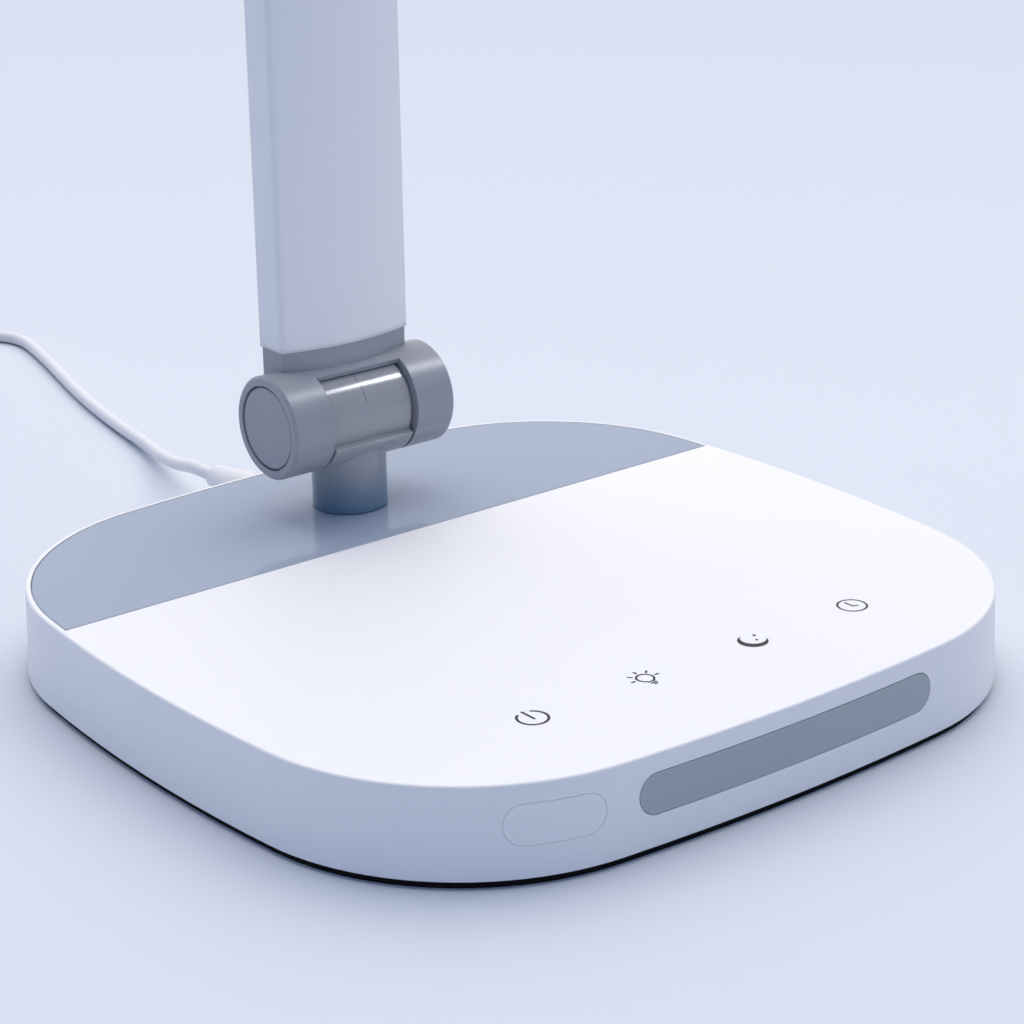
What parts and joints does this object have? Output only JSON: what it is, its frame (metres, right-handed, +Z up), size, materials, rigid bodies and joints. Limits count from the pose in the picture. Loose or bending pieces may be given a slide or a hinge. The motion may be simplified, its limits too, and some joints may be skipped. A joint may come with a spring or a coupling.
{
  "type": "led desk lamp",
  "caption": "Folding desk lamp: bowed touch base with night-light window, swivel neck, flat arm on a barrel hinge, slim bar head, low-voltage lead with a coil.",
  "frame": {"origin": "middle of the base's underside, on the desk", "axes": "+Z up, -Y towards the front where the touch keys are, +X to the right seen from the front"},
  "size_m": [0.1916, 0.5844, 0.4005],
  "materials": {
    "white_abs": "white moulded ABS, fine satin",
    "white_paint": "white powder coat on an aluminium extrusion",
    "grey_abs": "cool grey moulded ABS, satin",
    "grey_gloss": "blue-grey polished acrylic",
    "black_rubber": "black anti-slip rubber",
    "smoke_lens": "grey translucent polycarbonate",
    "opal_acrylic": "opal diffuser",
    "steel": "zinc-plated steel",
    "ballast_steel": "mill-finish steel plate",
    "acetal": "natural acetal",
    "circuit_board": "green solder mask",
    "board_parts": "dark moulded components",
    "foam": "conductive foam",
    "led": "LED package",
    "led_plate": "aluminium-core LED board",
    "white_pvc": "white PVC",
    "plug_steel": "nickel-plated sheet"
  },
  "bodies": {
    "base": {"base_shell": "white_abs", "rear_panel": "grey_gloss", "bottom_cover": "white_abs", "antislip_pad": "black_rubber", "base_screws": "steel", "ballast_plate": "ballast_steel", "touch_board": "circuit_board", "touch_pads": "foam", "driver_board": "circuit_board", "driver_parts": "board_parts", "dc_socket": "board_parts", "night_light_lens": "smoke_lens", "night_light_board": "circuit_board", "night_light_leds": "led", "port_blank": "white_abs", "swivel_bush": "acetal", "dc_plug": "white_pvc", "cord_run": "white_pvc", "cord_coil": "white_pvc", "cord_tie": "black_rubber", "usb_body": "white_pvc", "usb_shell": "plug_steel"},
    "neck": {"neck": "grey_abs", "swivel_washer": "steel", "swivel_nut": "steel"},
    "arm": {"lower_knuckle": "grey_abs", "upper_knuckle": "grey_abs", "arm_tube": "white_paint", "arm_screws": "steel", "tilt_shaft": "steel", "tilt_washers": "acetal", "tilt_springs": "steel", "tilt_nut": "steel", "tilt_cap_left": "grey_abs", "tilt_cap_right": "grey_abs", "head_shaft": "steel", "head_washers": "acetal", "head_springs": "steel", "head_nut": "steel", "head_cap_left": "grey_abs", "head_cap_right": "grey_abs"},
    "head": {"head_neck": "grey_abs", "head_shell": "white_abs", "head_diffuser": "opal_acrylic", "led_board": "led_plate", "head_leds": "led", "head_screws": "steel"}
  },
  "joints": [
    {"name": "neck_swivel", "type": "hinge", "parent": "base", "child": "neck", "pos_m": [0, 0.0601, 0.0215], "axis": [0, 0, 1], "range_deg": [-90, 90]},
    {"name": "arm_tilt", "type": "hinge", "parent": "neck", "child": "arm", "pos_m": [0, 0.0601, 0.0451], "axis": [1, 0, 0], "range_deg": [-30, 90]},
    {"name": "head_tilt", "type": "hinge", "parent": "arm", "child": "head", "pos_m": [0, 0.0601, 0.3851], "axis": [1, 0, 0], "range_deg": [-45, 90]}
  ]
}
